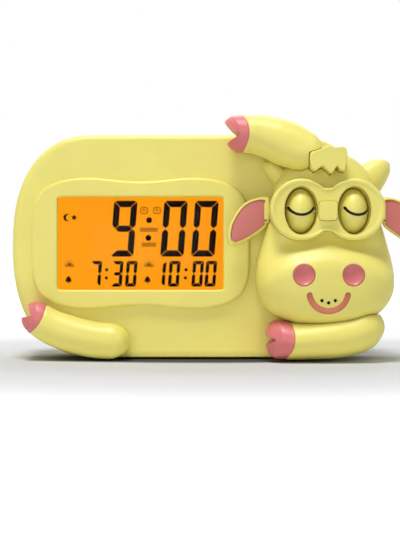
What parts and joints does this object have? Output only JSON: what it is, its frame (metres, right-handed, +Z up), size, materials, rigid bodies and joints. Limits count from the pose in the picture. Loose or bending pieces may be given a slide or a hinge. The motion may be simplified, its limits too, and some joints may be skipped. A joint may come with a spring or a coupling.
{
  "type": "alarm clock",
  "caption": "Free-standing sleep trainer alarm clock with a lit display, a resting animal head with turning eyes and legs laid along the body.",
  "frame": {"origin": "middle of the footprint on the ground, between the left end of the body and the right ear, and between the muzzle and the rear buttons", "axes": "+X to the right as seen from the front, +Y from the front to the back, +Z up"},
  "size_m": [0.1912, 0.0745, 0.114],
  "materials": {
    "shell": "satin pale yellow ABS",
    "hoof": "satin pink",
    "ear_pink": "matt dusty pink",
    "nostril": "satin pink",
    "window": "clear polished",
    "lcd": "lit amber liquid crystal panel with black segments",
    "guide": "milky diffuser",
    "led": "amber lens",
    "rubber": "matt black",
    "board": "green solder mask",
    "chip": "moulded black",
    "steel": "zinc plated",
    "gear": "white acetal",
    "button": "off-white satin",
    "cell": "plain wrapped cells"
  },
  "bodies": {
    "case": {"body_front": "shell", "body_rear": "shell", "case_screws": "steel", "feet": "rubber", "display_surround": "shell", "display_lens": "window", "lcd_panel": "lcd", "backlight_guide": "guide", "backlight_leds": "led", "lcd_contacts": "rubber", "main_board": "board", "main_board_screws": "steel", "clock_chip": "chip", "head_shell": "shell", "head_back": "shell", "head_screws": "steel", "goggles": "shell", "bridge_pad": "shell", "eye_motor": "steel", "eye_frame": "gear", "speaker": "chip", "nostril_left": "nostril", "nostril_right": "nostril", "smile": "nostril", "ear_left": "shell", "ear_right": "shell", "ear_lining_left": "ear_pink", "ear_lining_right": "ear_pink", "horn_left": "shell", "horn_right": "shell", "tuft_switch": "chip", "tuft_board": "board", "arm": "shell", "arm_hoof": "hoof", "fore_leg": "shell", "fore_hoof": "hoof", "hind_leg": "shell", "hind_hoof": "hoof", "button_board": "board", "button_switches": "chip", "button_board_screws": "steel", "slide_switch": "steel", "battery_box": "shell", "batteries": "cell", "battery_contacts": "steel"},
    "eyes": {"eye_left": "shell", "eye_right": "shell", "eye_axle": "steel", "axle_gear": "gear"},
    "idler": {"idler_gear": "gear"},
    "pinion": {"motor_pinion": "gear"},
    "tuft": {"tuft_button": "shell"},
    "knob": {"switch_knob": "chip"},
    "door": {"battery_door": "shell"},
    "key_1": {"button_1": "button"},
    "key_2": {"button_2": "button"},
    "key_3": {"button_3": "button"},
    "key_4": {"button_4": "button"},
    "key_5": {"button_5": "button"},
    "key_6": {"button_6": "button"}
  },
  "joints": [
    {"name": "eye_turn", "type": "hinge", "parent": "case", "child": "eyes", "pos_m": [0.05065, -0.0249, 0.0691], "axis": [1, 0, 0], "range_deg": [0, 180]},
    {"name": "idler_turn", "type": "hinge", "parent": "case", "child": "idler", "pos_m": [0.05065, -0.01935, 0.0596], "axis": [1, 0, 0], "range_deg": [-160, 5]},
    {"name": "pinion_turn", "type": "hinge", "parent": "case", "child": "pinion", "pos_m": [0.05065, -0.01935, 0.0506], "axis": [1, 0, 0], "range_deg": [-10, 315]},
    {"name": "tuft_press", "type": "slide", "parent": "case", "child": "tuft", "axis": [0, 1, 0], "range_m": [0, 0.0012], "stiffness_N_per_m": 600},
    {"name": "switch_slide", "type": "slide", "parent": "case", "child": "knob", "axis": [1, 0, 0], "range_m": [0, 0.004]},
    {"name": "door_lift", "type": "slide", "parent": "case", "child": "door", "axis": [0, 1, 0], "range_m": [0, 0.025]},
    {"name": "key_1_press", "type": "slide", "parent": "case", "child": "key_1", "axis": [0, -1, 0], "range_m": [0, 0.0008], "stiffness_N_per_m": 500},
    {"name": "key_2_press", "type": "slide", "parent": "case", "child": "key_2", "axis": [0, -1, 0], "range_m": [0, 0.0008], "stiffness_N_per_m": 500},
    {"name": "key_3_press", "type": "slide", "parent": "case", "child": "key_3", "axis": [0, -1, 0], "range_m": [0, 0.0008], "stiffness_N_per_m": 500},
    {"name": "key_4_press", "type": "slide", "parent": "case", "child": "key_4", "axis": [0, -1, 0], "range_m": [0, 0.0008], "stiffness_N_per_m": 500},
    {"name": "key_5_press", "type": "slide", "parent": "case", "child": "key_5", "axis": [0, -1, 0], "range_m": [0, 0.0008], "stiffness_N_per_m": 500},
    {"name": "key_6_press", "type": "slide", "parent": "case", "child": "key_6", "axis": [0, -1, 0], "range_m": [0, 0.0008], "stiffness_N_per_m": 500}
  ],
  "couplings": [
    {"joint": "idler_turn", "follows": "eye_turn", "ratio": -0.83333},
    {"joint": "pinion_turn", "follows": "eye_turn", "ratio": 1.6667}
  ]
}
